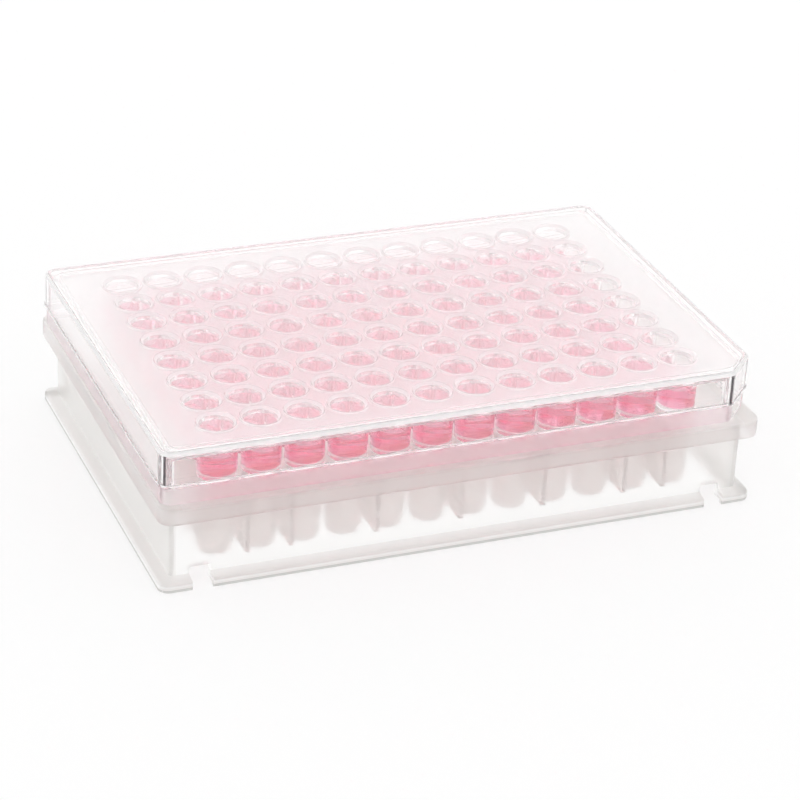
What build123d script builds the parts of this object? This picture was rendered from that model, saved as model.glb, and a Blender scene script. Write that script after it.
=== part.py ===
from build123d import *
import math
import os

# A culture stack, in millimetres, +Z up. From the bench upwards: a polypropylene receiver plate with
# hanging tubes, a clear polystyrene plate with flat-bottomed wells that hold culture medium, and a
# clear polystyrene lid. Nothing is fastened: each one rests on the one below.
# The origin is the centre of the stack's base. Column 1 is at -X, row A is at +Y.

# Well pattern, shared by both plates
columns = 12
rows = 8
pitch = 9.0

# Play between a piece and the one that it rests on
seat_clearance = 0.02

# Receiver plate: foot and skirt
footprint_length = 127.76
footprint_width = 85.48
receiver_height = 19.3
receiver_wall = 1.3
foot_reach = 2.55
foot_corner = 2.2
foot_rim_height = 2.0
foot_root_height = 2.5
foot_edge = 0.5
skirt_corner = 0.9

# Receiver plate: down-turned collar and deck
collar_end_ledge = 0.6
collar_side_ledge = 1.65
collar_corner = 3.0
collar_drop = 3.8
collar_lip = 1.2
collar_edge = 0.4
deck_thickness = 1.2

# Receiver plate: tubes, ribs and the notches in the long sides
tube_diameter = 7.6
tube_wall = 0.7
tube_floor_height = 1.9
tube_corner = 1.9
tube_mouth_chamfer = 0.3
rib_thickness = 1.0
rib_reach = 7.0
rib_foot_height = 4.5
rib_steps = (-5, -4, -2, 0, 2, 4, 5)
notch_spacing = 110.4
notch_width = 4.3
notch_height = 3.9
notch_corner = 0.5

# Well plate
plate_length = 127.0
plate_width = 84.1
plate_height = 10.33
plate_wall = 1.3
plate_corner = 2.4
plate_skirt_height = 3.7
plate_deck_thickness = 1.1
lid_ledge = 1.35
well_outer_diameter = 8.0
well_diameter = 6.7
well_floor = 0.9
well_bottom_clearance = 0.3
well_rim_diameter = 8.6
well_rim_height = 0.5
well_rim_chamfer = 0.15
well_mouth_diameter = 7.9

# The key corner at +X -Y is cut off at 45 degrees
key_cut = 6.4
key_blend = 1.2
smallest_corner = 0.4

# Lid
lid_top = 0.9
lid_wall = 1.2
lid_edge = 0.75
lid_bead = 0.25
lid_bead_height = 0.8
lid_side_clearance = 0.4
lid_rim_clearance = 0.15
lid_rib_gap = 0.85
lid_rib_width = 0.7
lid_rib_drop = 0.5
lid_rib_corner = 1.5
lid_rib_key_corner = 5.0

# Culture medium in each well
medium_depth = 4.0
medium_side_clearance = 0.02
meniscus_rise = 0.45

# Edges and corners count as being at a place when they are this near to it
tolerance = 1e-4

# Heights above the bench
plate_base = receiver_height + seat_clearance
plate_top = plate_base + plate_height
plate_deck_top = plate_top - well_rim_height
plate_ledge = plate_base + plate_skirt_height
lid_base = plate_ledge + seat_clearance
lid_underside = plate_top + lid_rim_clearance
stack_height = lid_underside + lid_top
well_bottom = plate_base + well_bottom_clearance
well_floor_top = well_bottom + well_floor
medium_top = well_floor_top + medium_depth

# Outlines, each one set from the piece that it fits
skirt_length = footprint_length - 2 * foot_reach
skirt_width = footprint_width - 2 * foot_reach
collar_length = plate_length + 2 * collar_end_ledge
collar_width = plate_width + 2 * collar_side_ledge
plate_outline = (plate_length, plate_width, plate_corner, key_cut)


def offset_outline(outline, step):
    """The keyed outline moved outwards by a step, or inwards by a negative one."""
    length, width, corner, cut = outline
    corner = max(corner + step, smallest_corner)
    cut = cut + step * (2 - math.sqrt(2))
    return length + 2 * step, width + 2 * step, corner, cut


body_outline = offset_outline(plate_outline, -lid_ledge)
lid_inner_outline = offset_outline(body_outline, lid_side_clearance)
lid_skirt_outline = offset_outline(lid_inner_outline, lid_wall)
lid_bead_outline = offset_outline(lid_skirt_outline, lid_bead)


def rounded_slab(length, width, corner, low, high):
    """A slab with four rounded corners between two heights."""
    outline = RectangleRounded(length, width, corner)
    return Pos(0, 0, low) * extrude(outline, high - low)


def keyed_slab(outline, low, high):
    """A slab with three rounded corners and the key corner cut off, between two heights."""
    length, width, corner, cut = outline
    half_x = length / 2
    half_y = width / 2
    path = Polyline(
        (-half_x, -half_y),
        (half_x - cut, -half_y),
        (half_x, cut - half_y),
        (half_x, half_y),
        (-half_x, half_y),
        close=True,
    )
    face = make_face(path)
    face = fillet(face.vertices().sort_by(lambda v: v.X - v.Y)[-2:], key_blend)
    square = [v for v in face.vertices() if abs(abs(v.X) + abs(v.Y) - half_x - half_y) < tolerance]
    face = fillet(square, corner)
    return Pos(0, 0, low) * extrude(face, high - low)


def round_cornered_slab(outline, step, low, high):
    """A slab whose key corner is a wide round in place of the cut, moved out by a step."""
    length = outline[0] + 2 * step
    width = outline[1] + 2 * step
    face = Rectangle(length, width)
    corners = face.vertices().sort_by(lambda v: v.X - v.Y)
    face = fillet(corners[-1], lid_rib_key_corner + lid_rib_width + step)
    square = [v for v in face.vertices() if abs(abs(v.X) + abs(v.Y) - (length + width) / 2) < tolerance]
    face = fillet(square, lid_rib_corner + lid_rib_width + step)
    return Pos(0, 0, low) * extrude(face, high - low)


def rim_edges(solid, height):
    """The edges that run round a slab at one height."""
    return solid.edges().filter_by_position(Axis.Z, height - tolerance, height + tolerance)


def turned(profile):
    """A solid of revolution about Z from (radius, height) points."""
    face = make_face(Polyline(*[(r, 0, z) for r, z in profile], close=True))
    return revolve(face, Axis.Z)


def tube_profile(radius, low, corner, high):
    """Half the outline of a round tube: a flat floor, a corner rounded in two flats, a straight side."""
    eighth = corner * math.sqrt(0.5)
    return [
        (0, low),
        (radius - corner, low),
        (radius - corner + eighth, low + corner - eighth),
        (radius, low + corner),
        (radius, high),
        (0, high),
    ]


def upright(radius, low, high):
    """A cylinder on the Z axis between two heights."""
    return Pos(0, 0, low) * Cylinder(radius, high - low, align=(Align.CENTER, Align.CENTER, Align.MIN))


def at_each_well(shape):
    """A copy of a shape at every well, all rows and columns."""
    return [place * shape for place in GridLocations(pitch, pitch, columns, rows)]


def make_receiver():
    """Skirt with a spread foot, collar, deck, 96 hanging tubes, ribs and notches in one moulding."""
    foot = rounded_slab(footprint_length, footprint_width, foot_corner, 0, foot_rim_height)
    spread = loft(
        [
            Pos(0, 0, foot_rim_height) * RectangleRounded(footprint_length, footprint_width, foot_corner),
            Pos(0, 0, foot_root_height) * RectangleRounded(skirt_length, skirt_width, skirt_corner),
        ],
        ruled=True,
    )
    foot = foot + spread
    foot = fillet(rim_edges(foot, foot_rim_height) + rim_edges(foot, 0), foot_edge)
    skirt = rounded_slab(skirt_length, skirt_width, skirt_corner, 0, receiver_height)
    collar_low = receiver_height - collar_drop
    deck_low = receiver_height - deck_thickness
    collar = rounded_slab(collar_length, collar_width, collar_corner, collar_low, receiver_height)
    collar = fillet(rim_edges(collar, receiver_height) + rim_edges(collar, collar_low), collar_edge)
    collar -= rounded_slab(
        collar_length - 2 * collar_lip,
        collar_width - 2 * collar_lip,
        collar_corner - collar_lip,
        collar_low,
        deck_low,
    )
    hollow = rounded_slab(
        skirt_length - 2 * receiver_wall,
        skirt_width - 2 * receiver_wall,
        smallest_corner,
        0,
        deck_low,
    )
    foot_hollow = rounded_slab(
        footprint_length - 2 * receiver_wall,
        footprint_width - 2 * receiver_wall,
        foot_corner - receiver_wall,
        0,
        foot_rim_height - receiver_wall,
    )
    shell = foot + skirt + collar - hollow - foot_hollow

    outer = tube_diameter / 2
    bore = outer - tube_wall
    tube = turned(tube_profile(outer, tube_floor_height, tube_corner, receiver_height))
    hole = turned(
        tube_profile(bore, tube_floor_height + tube_wall, tube_corner - tube_wall, receiver_height)
    )
    mouth = receiver_height - tube_mouth_chamfer
    hole += turned(
        [
            (0, mouth),
            (bore, mouth),
            (bore + tube_mouth_chamfer, receiver_height),
            (0, receiver_height),
        ]
    )

    rib_depth = rib_reach + receiver_wall / 2
    rib_y = skirt_width / 2 - receiver_wall / 2 - rib_depth / 2
    rib_height = receiver_height - deck_thickness / 2 - rib_foot_height
    rib = Box(rib_thickness, rib_depth, rib_height, align=(Align.CENTER, Align.CENTER, Align.MIN))
    ribs = [
        Pos(step * pitch, side * rib_y, rib_foot_height) * rib for step in rib_steps for side in (-1, 1)
    ]

    notch_depth = footprint_width / 2 - skirt_width / 2 + 2 * receiver_wall
    notch_y = footprint_width / 2 - notch_depth / 2 + receiver_wall / 2
    notch = Box(notch_width, notch_depth, notch_height, align=(Align.CENTER, Align.CENTER, Align.MIN))
    notch_tops = notch.edges().filter_by(Axis.Y).sort_by(Axis.Z)[-2:]
    notch = fillet(notch_tops, notch_corner)
    notches = [
        Pos(end * notch_spacing / 2, side * notch_y, 0) * notch for end in (-1, 1) for side in (-1, 1)
    ]
    return shell + at_each_well(tube) + ribs - at_each_well(hole) - notches


def make_well_plate():
    """Clear moulding: skirt, ledge for the lid, inner body, deck and 96 flat-bottomed wells with rims."""
    ledge_low = plate_ledge - plate_wall
    deck_low = plate_deck_top - plate_deck_thickness
    skirt = keyed_slab(plate_outline, plate_base, plate_ledge)
    skirt -= keyed_slab(offset_outline(plate_outline, -plate_wall), plate_base, ledge_low)
    body = keyed_slab(body_outline, ledge_low, plate_deck_top)
    hollow = keyed_slab(offset_outline(body_outline, -plate_wall), ledge_low, deck_low)
    rim = turned(
        [
            (0, deck_low),
            (well_rim_diameter / 2, deck_low),
            (well_rim_diameter / 2, plate_top - well_rim_chamfer),
            (well_rim_diameter / 2 - well_rim_chamfer, plate_top),
            (0, plate_top),
        ]
    )
    tube = upright(well_outer_diameter / 2, well_bottom, plate_deck_top) + rim
    mouth_depth = (well_mouth_diameter - well_diameter) / 2
    bore = turned(
        [
            (0, well_floor_top),
            (well_diameter / 2, well_floor_top),
            (well_diameter / 2, plate_top - mouth_depth),
            (well_mouth_diameter / 2, plate_top),
            (0, plate_top),
        ]
    )
    return skirt + body - hollow + at_each_well(tube) - at_each_well(bore)


def make_lid():
    """Clear moulding: flat top, skirt with a bead along its lower edge, and a locating rib beneath."""
    shell = keyed_slab(lid_skirt_outline, lid_base, stack_height)
    shell = fillet(rim_edges(shell, stack_height), lid_edge)
    bead = keyed_slab(lid_bead_outline, lid_base, lid_base + lid_bead_height)
    bead = fillet(rim_edges(bead, lid_base) + rim_edges(bead, lid_base + lid_bead_height), lid_bead)
    shell = shell + bead - keyed_slab(lid_inner_outline, lid_base, lid_underside)
    rib_outline = offset_outline(lid_inner_outline, -lid_rib_gap)
    rib = round_cornered_slab(rib_outline, 0, lid_underside - lid_rib_drop, lid_underside + lid_top / 2)
    rib -= round_cornered_slab(
        rib_outline, -lid_rib_width, lid_underside - lid_rib_drop, lid_underside + lid_top / 2
    )
    return shell + rib


def make_medium(column):
    """The eight fills of one column: a short cylinder of medium with a dished surface in each well."""
    radius = well_diameter / 2 - medium_side_clearance
    dish_radius = (radius**2 + meniscus_rise**2) / (2 * meniscus_rise)
    dish = Pos(0, 0, medium_top - meniscus_rise + dish_radius) * Sphere(dish_radius)
    fill = upright(radius, well_floor_top, medium_top) - dish
    x = (column - (columns + 1) / 2) * pitch
    places = [Pos(x, (row - (rows - 1) / 2) * pitch, 0) for row in range(rows)]
    return Compound(children=[place * fill for place in places])


os.makedirs("parts", exist_ok=True)
export_step(make_receiver(), "parts/receiver_plate.step")
export_step(make_well_plate(), "parts/well_plate.step")
export_step(make_lid(), "parts/lid.step")
for column in range(1, columns + 1):
    export_step(make_medium(column), f"parts/culture_medium_column_{column:02d}.step")
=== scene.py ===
import math

import bmesh
import bpy
from mathutils import Matrix, Vector


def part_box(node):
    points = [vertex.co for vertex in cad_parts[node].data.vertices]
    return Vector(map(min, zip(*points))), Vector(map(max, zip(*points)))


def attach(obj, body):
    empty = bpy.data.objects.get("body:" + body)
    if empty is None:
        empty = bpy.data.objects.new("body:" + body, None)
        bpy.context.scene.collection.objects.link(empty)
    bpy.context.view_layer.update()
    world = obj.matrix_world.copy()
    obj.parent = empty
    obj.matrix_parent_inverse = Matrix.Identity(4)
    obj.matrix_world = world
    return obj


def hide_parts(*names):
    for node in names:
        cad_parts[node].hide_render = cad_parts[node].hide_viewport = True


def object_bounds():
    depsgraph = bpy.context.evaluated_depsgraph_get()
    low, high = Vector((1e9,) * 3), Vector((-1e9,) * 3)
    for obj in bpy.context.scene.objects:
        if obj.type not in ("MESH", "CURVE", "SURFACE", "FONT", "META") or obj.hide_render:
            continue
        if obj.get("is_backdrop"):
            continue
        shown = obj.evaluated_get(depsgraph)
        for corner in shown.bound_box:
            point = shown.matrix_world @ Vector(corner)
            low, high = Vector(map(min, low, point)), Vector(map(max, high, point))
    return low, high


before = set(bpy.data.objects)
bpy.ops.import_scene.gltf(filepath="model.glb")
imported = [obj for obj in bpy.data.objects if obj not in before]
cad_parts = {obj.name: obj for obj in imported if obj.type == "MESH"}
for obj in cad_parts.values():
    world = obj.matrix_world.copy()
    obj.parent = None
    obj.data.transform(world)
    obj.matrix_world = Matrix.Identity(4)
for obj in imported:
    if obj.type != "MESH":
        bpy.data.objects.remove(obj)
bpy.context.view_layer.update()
scene = bpy.context.scene


# Camera
# A long lens on a stand to the left of the stack's long front side, looking down on the lid.
# It is rolled three degrees about its own axis, so level lines run a little downhill to the right.
MM = 0.001
camera_turn = math.radians(22.77)
camera_tilt = math.radians(27.38)
camera_roll = math.radians(3.02)
camera_distance = 604.05 * MM
camera_target = Vector((0, 0, 17 * MM))

backwards = Vector((-math.sin(camera_turn) * math.cos(camera_tilt),
                    -math.cos(camera_turn) * math.cos(camera_tilt),
                    math.sin(camera_tilt)))
level = Vector((0, 0, 1)).cross(backwards).normalized()
upwards = backwards.cross(level)
rightwards = level * math.cos(camera_roll) + upwards * math.sin(camera_roll)
upwards = upwards * math.cos(camera_roll) - level * math.sin(camera_roll)
camera_data = bpy.data.cameras.new("camera")
camera_data.sensor_width = 36
camera_data.lens = 129.88
camera_data.shift_x = 0.0093
camera_data.shift_y = -0.0298
camera_data.clip_start = 0.01
camera = bpy.data.objects.new("camera", camera_data)
axes = Matrix((rightwards, upwards, backwards)).transposed().to_4x4()
camera.matrix_world = Matrix.Translation(camera_target + backwards * camera_distance) @ axes
scene.collection.objects.link(camera)
scene.camera = camera
scene.view_settings.view_transform = "Standard"


# Receiver plate
# One injection moulding of natural polypropylene: foot, skirt, collar, deck and 96 hanging tubes.
# It is satin and translucent, so the tubes show through the skirt as soft darker shapes, deepened
# by painted shade on the outer ring of tubes.
class Finish:
    """The material of one piece, built node by node, with patterns that stay still on the piece."""

    def __init__(self, name):
        self.material = bpy.data.materials.new(name)
        self.material.use_nodes = True
        self.tree = self.material.node_tree
        self.tree.nodes.clear()

    def add(self, kind, inputs=None, **settings):
        """A node with its settings, and numbers or colours on its sockets."""
        node = self.tree.nodes.new(kind)
        for key, value in settings.items():
            setattr(node, key, value)
        for key, value in (inputs or {}).items():
            node.inputs[key].default_value = value
        return node

    def link(self, source, target):
        """Joins an output socket to an input socket."""
        self.tree.links.new(source, target)

    def reckon(self, operation, *values):
        """Arithmetic, such as ADD, MULTIPLY or COMPARE, on sockets and plain numbers."""
        node = self.add("ShaderNodeMath", operation=operation)
        for socket, value in zip(node.inputs, values):
            if isinstance(value, (int, float)):
                socket.default_value = value
            else:
                self.link(value, socket)
        return node.outputs[0]

    def ramp(self, value, start, end, low, high):
        """Goes from low to high while the value goes from start to end."""
        node = self.add("ShaderNodeMapRange", {"From Min": start, "From Max": end,
                                               "To Min": low, "To Max": high})
        self.link(value, node.inputs["Value"])
        return node.outputs["Result"]

    def on_piece(self, kind, inputs=None):
        """A node that reads where a point lies on the piece."""
        node = self.add(kind, inputs)
        place = self.add("ShaderNodeTexCoord")
        self.link(place.outputs["Object"], node.inputs["Vector"])
        return node

    def clouds(self, scale, detail, roughness=0.5):
        """A cloudy pattern between 0 and 1."""
        noise = self.on_piece("ShaderNodeTexNoise", {"Scale": scale, "Detail": detail,
                                                     "Roughness": roughness})
        return noise.outputs["Fac"]

    def drifting(self, pattern, colour, other_colour):
        """A colour that drifts to another one with a pattern."""
        node = self.add("ShaderNodeMix", data_type="RGBA")
        node.inputs["A"].default_value = (*colour, 1)
        node.inputs["B"].default_value = (*other_colour, 1)
        self.link(pattern, node.inputs["Factor"])
        return node.outputs["Result"]

    def tinted(self, tone, share, colour):
        """A tone that turns to a colour where the share is 1."""
        node = self.add("ShaderNodeMix", data_type="RGBA")
        self.link(share, node.inputs["Factor"])
        self.link(tone, node.inputs["A"])
        node.inputs["B"].default_value = (*colour, 1)
        return node.outputs["Result"]

    def distances(self):
        """A point's distance from the middle along the plate and across it, and its place."""
        place = self.on_piece("ShaderNodeSeparateXYZ").outputs
        return self.reckon("ABSOLUTE", place["X"]), self.reckon("ABSOLUTE", place["Y"]), place

    def outwards(self, along, across, length_over_width):
        """How far out a point is, the same on the long sides as on the ends of a plate."""
        return self.reckon("MAXIMUM", self.reckon("SUBTRACT", along, length_over_width), across)

    def finish_on(self, node_name):
        """Puts the material on every slot of a CAD node."""
        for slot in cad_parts[node_name].material_slots:
            slot.material = self.material


foot_length_over_width = 21.2 * MM
skirt_face = 40.25 * MM
end_face = 60.0 * MM
collar_middle, collar_half = 16.9 * MM, 1.8 * MM
foot_top = 2.8 * MM
foot_highlight_middle, foot_highlight_half = 1.4 * MM, 0.22 * MM
foot_lip = 42.1 * MM
foot_shade_top = 0.8 * MM
tubes_length_over_width = 18.0 * MM
outer_tubes_middle, outer_tubes_half = 31.6 * MM, 4.6 * MM
tubes_top = 18.0 * MM
wall_tone, pale_wall_tone = (0.996, 0.990, 0.982), (1.0, 0.997, 0.992)
# The tones below paint shade on the outer tubes, ends, collar, foot and the foot's lower edge, and
# a highlight line round the foot.
outer_tubes_painted_shade_tone = (0.90, 0.868, 0.858)
end_painted_shade_tone = (0.91, 0.90, 0.885)
collar_painted_shade_tone = (0.90, 0.87, 0.865)
foot_painted_shade_tone = (0.85, 0.83, 0.815)
foot_painted_highlight_tone = (1.0, 1.0, 1.0)
foot_edge_painted_shade_tone = (0.50, 0.495, 0.475)
smoothest_satin, roughest_satin = 0.4, 0.48

frosted = Finish("natural_polypropylene_frosted")
reckon = frosted.reckon
along, across, place = frosted.distances()
height = place["Z"]
tubes_outwards = frosted.outwards(along, across, tubes_length_over_width)
outwards = frosted.outwards(along, across, foot_length_over_width)
past_skirt = reckon("GREATER_THAN", outwards, skirt_face)
# Painted shade: the outer ring of tubes, below the deck, is tinted darker.
in_outer_tubes_painted_shade = reckon(
    "MULTIPLY", reckon("COMPARE", tubes_outwards, outer_tubes_middle, outer_tubes_half),
    reckon("LESS_THAN", height, tubes_top))
# Painted shade: both ends of the plate are tinted darker.
in_ends_painted_shade = reckon("GREATER_THAN", along, end_face)
# Painted shade: the collar band is tinted a darker greyish pink.
in_collar_painted_shade = reckon("MULTIPLY", past_skirt,
                   reckon("COMPARE", height, collar_middle, collar_half))
# Painted shade: the foot outside the skirt is tinted darker.
in_foot_painted_shade = reckon("MULTIPLY", past_skirt, reckon("LESS_THAN", height, foot_top))
# Painted highlight: a white line round the foot at rim height.
in_foot_painted_highlight = reckon("COMPARE", height, foot_highlight_middle, foot_highlight_half)
# Painted shade: the foot's lowest edge is tinted much darker.
in_foot_edge_painted_shade = reckon("MULTIPLY", reckon("GREATER_THAN", outwards, foot_lip),
                       reckon("LESS_THAN", height, foot_shade_top))
cloudy = frosted.clouds(scale=140, detail=3, roughness=0.55)
tone = frosted.drifting(cloudy, wall_tone, pale_wall_tone)
# Lays the painted shade and the painted highlight over the wall's own tone.
for zone, zone_tone in ((in_outer_tubes_painted_shade, outer_tubes_painted_shade_tone), (in_ends_painted_shade, end_painted_shade_tone),
                        (in_collar_painted_shade, collar_painted_shade_tone), (in_foot_painted_shade, foot_painted_shade_tone),
                        (in_foot_painted_highlight, foot_painted_highlight_tone), (in_foot_edge_painted_shade, foot_edge_painted_shade_tone)):
    tone = frosted.tinted(tone, zone, zone_tone)
bump = frosted.add("ShaderNodeBump", {"Strength": 0.08, "Distance": 0.05 * MM})
frosted.link(frosted.clouds(scale=2600, detail=2), bump.inputs["Height"])
body = frosted.add("ShaderNodeBsdfPrincipled", {
    "IOR": 1.12, "Transmission Weight": 0.85,
    "Coat Weight": 0.6, "Coat Roughness": 0.3, "Coat IOR": 1.49})
frosted.link(tone, body.inputs["Base Color"])
satin = frosted.ramp(cloudy, 0, 1, smoothest_satin, roughest_satin)
frosted.link(satin, body.inputs["Roughness"])
frosted.link(bump.outputs["Normal"], body.inputs["Normal"])
output = frosted.add("ShaderNodeOutputMaterial")
frosted.link(body.outputs["BSDF"], output.inputs["Surface"])
frosted.finish_on("receiver_plate")


# Well plate
# One clear polystyrene moulding with 96 flat-bottomed wells; it sits on the receiver plate's deck.
# Its deck, its well rims and the outside of its skirt come matt and a little milky from the mould.
# The skirt has painted pink light from the medium, full along the long sides and faint on the ends.
class ClearPolystyrene(Finish):
    """Clear moulded polystyrene with faint flow marks, and places that are matt and milky."""

    def __init__(self, name, roughest):
        super().__init__(name)
        flow = self.clouds(scale=90, detail=2)
        self.tone = self.drifting(flow, (0.999, 0.998, 0.998), (1, 1, 1))
        self.rough = self.ramp(flow, 0, 1, 0, roughest)
        self.body = self.add("ShaderNodeBsdfPrincipled", {"IOR": 1.59})
        output = self.add("ShaderNodeOutputMaterial")
        self.link(self.body.outputs["BSDF"], output.inputs["Surface"])

    def roughen(self, zone, roughness):
        """Makes one zone rougher than the rest."""
        self.rough = self.reckon("ADD", self.rough, self.reckon("MULTIPLY", zone, roughness))

    def complete(self, milky):
        """Gives the body its tone, its roughness, and how milky it is."""
        self.link(self.tone, self.body.inputs["Base Color"])
        self.link(self.rough, self.body.inputs["Roughness"])
        clear = self.reckon("SUBTRACT", 1.0, milky)
        self.link(clear, self.body.inputs["Transmission Weight"])


plate_length_over_width = 21.4 * MM
plate_skirt_face = 40.9 * MM
well_rim_height = 0.5 * MM
face_tolerance = 0.02 * MM
edge_tolerance = 0.01 * MM
full_pink_light_end, faint_pink_light_end = 54 * MM, 62 * MM
faint_pink_light = 0.3
skirt_painted_pink_light = (1.0, 0.84, 0.89)
plate_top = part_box("well_plate")[1].z
lid_low, lid_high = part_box("lid")

plate_clear = ClearPolystyrene("plate_clear_polystyrene_gloss", roughest=0.03)
reckon = plate_clear.reckon
along, across, place = plate_clear.distances()
height = place["Z"]
outwards = plate_clear.outwards(along, across, plate_length_over_width)
on_deck = reckon("COMPARE", height, plate_top - well_rim_height, face_tolerance)
on_rims = reckon("COMPARE", height, plate_top - well_rim_height / 2,
                 well_rim_height / 2 - edge_tolerance)
on_skirt = reckon("MULTIPLY", reckon("GREATER_THAN", outwards, plate_skirt_face),
                  reckon("LESS_THAN", height, lid_low.z - edge_tolerance))
milky = 0.0
for zone, roughness, milkiness in ((on_deck, 0.35, 0.26), (on_rims, 0.3, 0.45),
                                   (on_skirt, 0.35, 0.12)):
    plate_clear.roughen(zone, roughness)
    milky = reckon("ADD", milky, reckon("MULTIPLY", zone, milkiness))
# Painted pink light from the medium on the skirt, fading towards the ends.
painted_pink_light_here = plate_clear.ramp(along, full_pink_light_end, faint_pink_light_end, 1, faint_pink_light)
painted_pink_light_here = reckon("MULTIPLY", on_skirt, painted_pink_light_here)
plate_clear.tone = plate_clear.tinted(plate_clear.tone, painted_pink_light_here, skirt_painted_pink_light)
plate_clear.complete(milky)
plate_clear.finish_on("well_plate")


# Culture medium
# Pink buffered medium, 4 mm deep in each of the 96 wells, with a column of eight wells to a piece.
# It wets the polystyrene, so it lies right against the wall and climbs it in a meniscus.
columns, wells_in_column = 12, 8
well_pitch = 9 * MM
wetting = 0.045 * MM
meniscus_rise = 0.45 * MM
meniscus_steps = 6
well_sides = 40
sharp_angle = math.radians(40)
merge_gap = 0.001 * MM

pink = Finish("culture_medium_pink")
body = pink.add("ShaderNodeBsdfPrincipled", {"IOR": 1.335, "Transmission Weight": 1.0,
                                             "Roughness": 0.0})
drift = pink.clouds(scale=60, detail=1)
pink.link(pink.drifting(drift, (1.0, 0.98, 0.99), (1.0, 1.0, 1.0)), body.inputs["Base Color"])
dye = pink.add("ShaderNodeVolumeAbsorption", {"Color": (1.0, 0.0, 0.42, 1), "Density": 210.0})
output = pink.add("ShaderNodeOutputMaterial")
pink.link(body.outputs["BSDF"], output.inputs["Surface"])
pink.link(dye.outputs["Volume"], output.inputs["Volume"])

for column in range(1, columns + 1):
    node_name = f"culture_medium_column_{column:02d}"
    low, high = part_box(node_name)
    well_radius = (high.x - low.x) / 2
    radius = well_radius + wetting
    bottom = low.z - wetting / 2
    profile = [Vector((0, 0, bottom)), Vector((radius, 0, bottom))]
    for step in range(meniscus_steps + 1):
        share = 1 - step / meniscus_steps
        surface = high.z - meniscus_rise + meniscus_rise * share * share
        profile.append(Vector((radius * share, 0, surface)))
    shape = bmesh.new()
    points = [shape.verts.new(point) for point in profile]
    edges = [shape.edges.new(pair) for pair in zip(points, points[1:])]
    bmesh.ops.spin(shape, geom=points + edges, cent=(0, 0, 0), axis=(0, 0, 1),
                   angle=2 * math.pi, steps=well_sides, use_merge=True)
    bmesh.ops.remove_doubles(shape, verts=shape.verts, dist=merge_gap)
    bmesh.ops.recalc_face_normals(shape, faces=shape.faces)
    first = shape.verts[:] + shape.edges[:] + shape.faces[:]
    for row in range(1, wells_in_column):
        copy = bmesh.ops.duplicate(shape, geom=first)["geom"]
        moved = [part for part in copy if isinstance(part, bmesh.types.BMVert)]
        bmesh.ops.translate(shape, verts=moved, vec=(0, row * well_pitch, 0))
    first_well = ((low.x + high.x) / 2, low.y + well_radius, 0)
    bmesh.ops.translate(shape, verts=shape.verts, vec=first_well)
    mesh = bpy.data.meshes.new(f"medium_column_{column:02d}")
    shape.to_mesh(mesh)
    shape.free()
    mesh.shade_smooth()
    mesh.set_sharp_from_angle(angle=sharp_angle)
    mesh.materials.append(pink.material)
    fill = bpy.data.objects.new(mesh.name, mesh)
    scene.collection.objects.link(fill)
    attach(fill, "root")
    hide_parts(node_name)


# Lid
# One clear polystyrene moulding: flat top, skirt with a bead, and a locating rib beneath.
# The rounding along its top edge is matt, and a breath of haze lies on the top, most at the back.
# Painted shade tints thin dark lines at its upright corners, where the light is held back.
top_thickness = 0.9 * MM
edge_middle, edge_half = 0.43 * MM, 0.4 * MM
edge_roughness, edge_milkiness = 0.4, 0.6
haze_reach = 42 * MM
front_haze, back_haze = 0.15, 0.235
long_wall = 41.0 * MM
round_corner_middle, round_corner_half = 21.45 * MM, 0.38 * MM
front_wall = -41.9 * MM
cut_corner_middle, cut_corner_half = 56.85 * MM, 0.28 * MM
corner_line_middle, corner_line_half = 26.8 * MM, 3.1 * MM
corner_painted_shade = (0.02, 0.015, 0.018)

lid_clear = ClearPolystyrene("lid_clear_polystyrene_gloss", roughest=0.02)
reckon = lid_clear.reckon
along, across, place = lid_clear.distances()
height = place["Z"]
on_edge = reckon("COMPARE", height, lid_high.z - edge_middle, edge_half)
on_faces = reckon("MAXIMUM", reckon("COMPARE", height, lid_high.z, face_tolerance),
                  reckon("COMPARE", height, lid_high.z - top_thickness, face_tolerance))
haze = lid_clear.ramp(place["Y"], -haze_reach, haze_reach, front_haze, back_haze)
milky = reckon("MAXIMUM", reckon("MULTIPLY", on_faces, haze),
               reckon("MULTIPLY", on_edge, edge_milkiness))
along_past_across = reckon("SUBTRACT", along, across)
# Painted shade: thin near-black lines at the upright corners.
at_round_corner = reckon(
    "MULTIPLY", reckon("GREATER_THAN", across, long_wall),
    reckon("COMPARE", along_past_across, round_corner_middle, round_corner_half))
at_cut_corner = reckon(
    "MULTIPLY", reckon("LESS_THAN", place["Y"], front_wall),
    reckon("COMPARE", place["X"], cut_corner_middle, cut_corner_half))
at_painted_corner_shade = reckon("MULTIPLY", reckon("MAXIMUM", at_round_corner, at_cut_corner),
                   reckon("COMPARE", height, corner_line_middle, corner_line_half))
lid_clear.roughen(on_edge, edge_roughness)
lid_clear.tone = lid_clear.tinted(lid_clear.tone, at_painted_corner_shade, corner_painted_shade)
lid_clear.complete(milky)
lid_clear.finish_on("lid")


# Stage
# A white bench top that runs out of sight, in a white room with one softbox at the back right.
# Clear plastic and gloss see the bench as plain white, and it keeps a faint shadow of the stack.
# Light passes dozens of clear walls on its way, so its paths are long and none of them is blurred.
bench_half = 8.0
white_to_camera = 0.7

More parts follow.
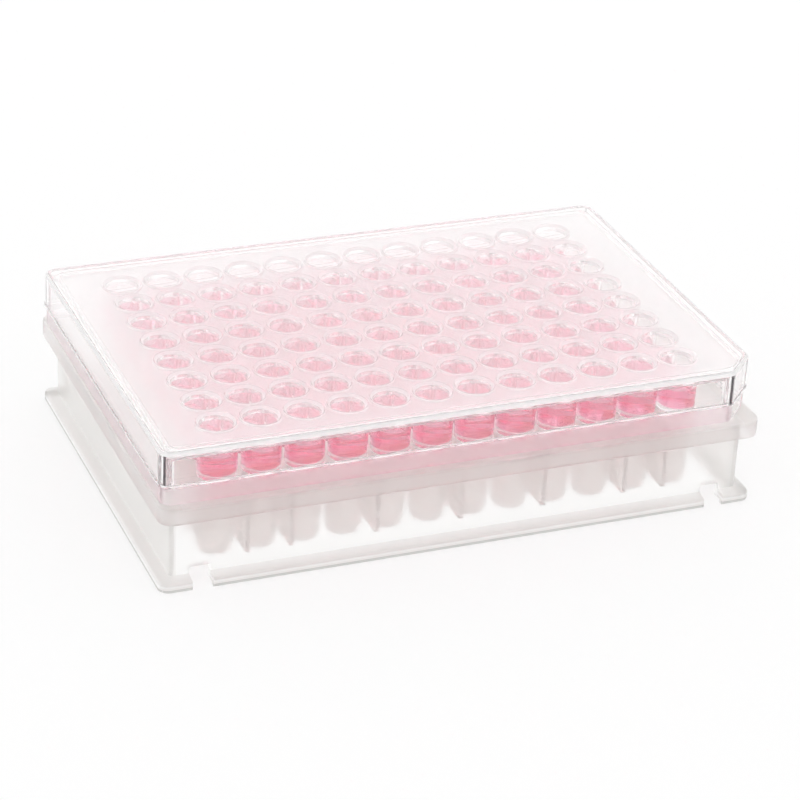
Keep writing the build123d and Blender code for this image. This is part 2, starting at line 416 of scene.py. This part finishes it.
bench_white = Finish("bench_white")
path = bench_white.add("ShaderNodeLightPath")
seen_white = bench_white.reckon("MAXIMUM", path.outputs["Is Transmission Ray"],
                                path.outputs["Is Glossy Ray"])
camera_white = bench_white.reckon("MULTIPLY", path.outputs["Is Camera Ray"], white_to_camera)
seen_white = bench_white.reckon("MAXIMUM", seen_white, camera_white)
lit = bench_white.add("ShaderNodeBsdfDiffuse", {"Color": (0.985, 0.985, 0.985, 1)})
glow = bench_white.add("ShaderNodeEmission", {"Color": (1, 1, 1, 1), "Strength": 1.0})
body = bench_white.add("ShaderNodeMixShader")
bench_white.link(seen_white, body.inputs["Fac"])
bench_white.link(lit.outputs["BSDF"], body.inputs[1])
bench_white.link(glow.outputs["Emission"], body.inputs[2])
output = bench_white.add("ShaderNodeOutputMaterial")
bench_white.link(body.outputs["Shader"], output.inputs["Surface"])

shape = bmesh.new()
bmesh.ops.create_grid(shape, x_segments=1, y_segments=1, size=bench_half)
floor_mesh = bpy.data.meshes.new("bench")
shape.to_mesh(floor_mesh)
shape.free()
floor_mesh.materials.append(bench_white.material)
floor = bpy.data.objects.new("bench", floor_mesh)
scene.collection.objects.link(floor)
floor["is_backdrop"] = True

room = bpy.data.worlds.new("studio")
scene.world = room
room.use_nodes = True
room.node_tree.nodes.clear()
white = room.node_tree.nodes.new("ShaderNodeBackground")
white.inputs["Color"].default_value = (1, 1, 1, 1)
white.inputs["Strength"].default_value = 1.0
output = room.node_tree.nodes.new("ShaderNodeOutputWorld")
room.node_tree.links.new(white.outputs["Background"], output.inputs["Surface"])

softbox_data = bpy.data.lights.new("softbox", "AREA")
softbox_data.shape = "RECTANGLE"
softbox_data.size = 0.6
softbox_data.size_y = 0.32
softbox_data.energy = 0.3
softbox = bpy.data.objects.new("softbox", softbox_data)
softbox.location = (0.31, 0.745, 0.42)
softbox.rotation_euler = (-softbox.location).to_track_quat("-Z", "Y").to_euler()
scene.collection.objects.link(softbox)

scene.cycles.blur_glossy = 0.0
scene.cycles.max_bounces = 96
scene.cycles.diffuse_bounces = 24
scene.cycles.glossy_bounces = 96
scene.cycles.transmission_bounces = 96

low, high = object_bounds()
